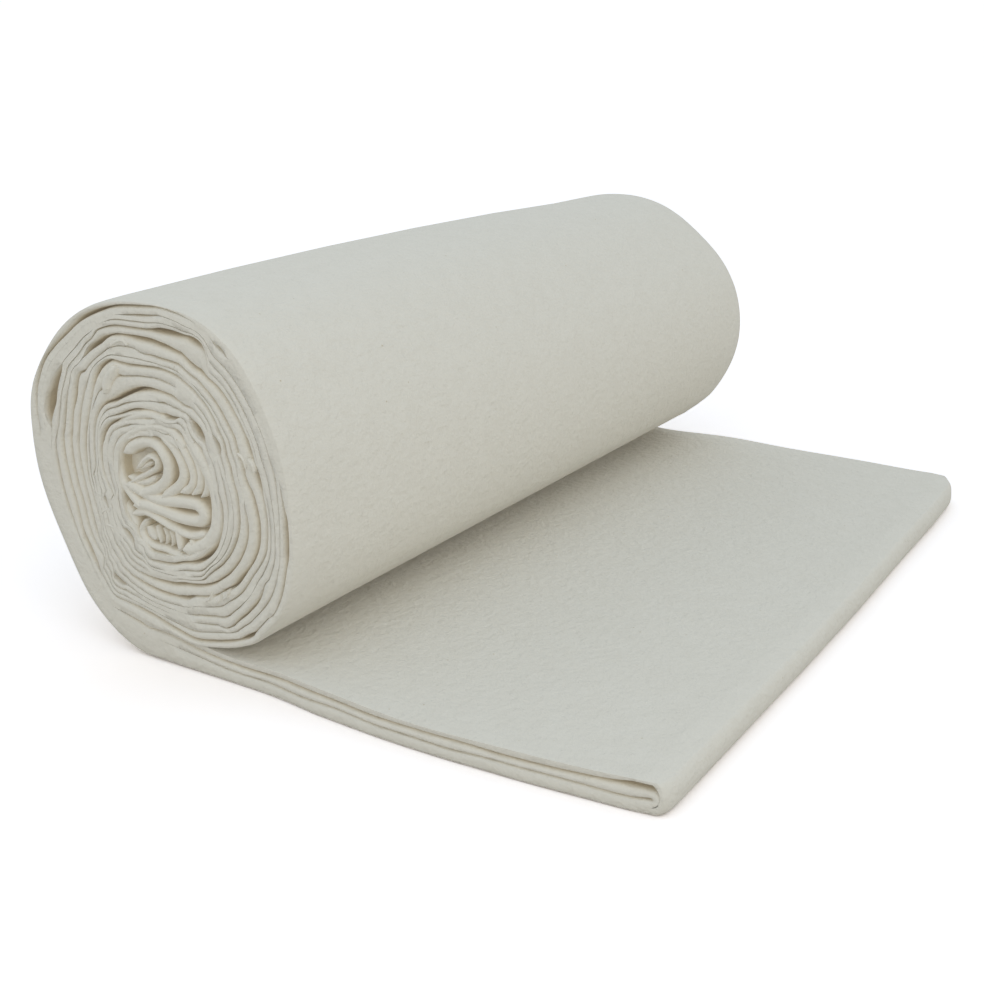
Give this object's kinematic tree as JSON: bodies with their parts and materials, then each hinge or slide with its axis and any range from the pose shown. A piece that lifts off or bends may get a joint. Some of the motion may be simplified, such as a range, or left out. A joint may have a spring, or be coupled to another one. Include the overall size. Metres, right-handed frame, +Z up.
{
  "type": "roll of quilt batting",
  "caption": "Roll of natural cotton quilt batting: a folded pack of felted layers wound into a roll, its last stretch left lying flat with the folded edge outwards.",
  "frame": {"origin": "on the surface the roll rests on, under the middle of the whole part's box", "axes": "+Y along the roll's axis, away from the end whose turns are seen; +X the way the loose end lies; +Z up"},
  "size_m": [0.3626, 0.462, 0.1862],
  "materials": {
    "batting": "soft needle-felted unbleached cotton, matt"
  },
  "bodies": {
    "root": {"wound_roll": "batting", "loose_end": "batting"}
  },
  "joints": []
}
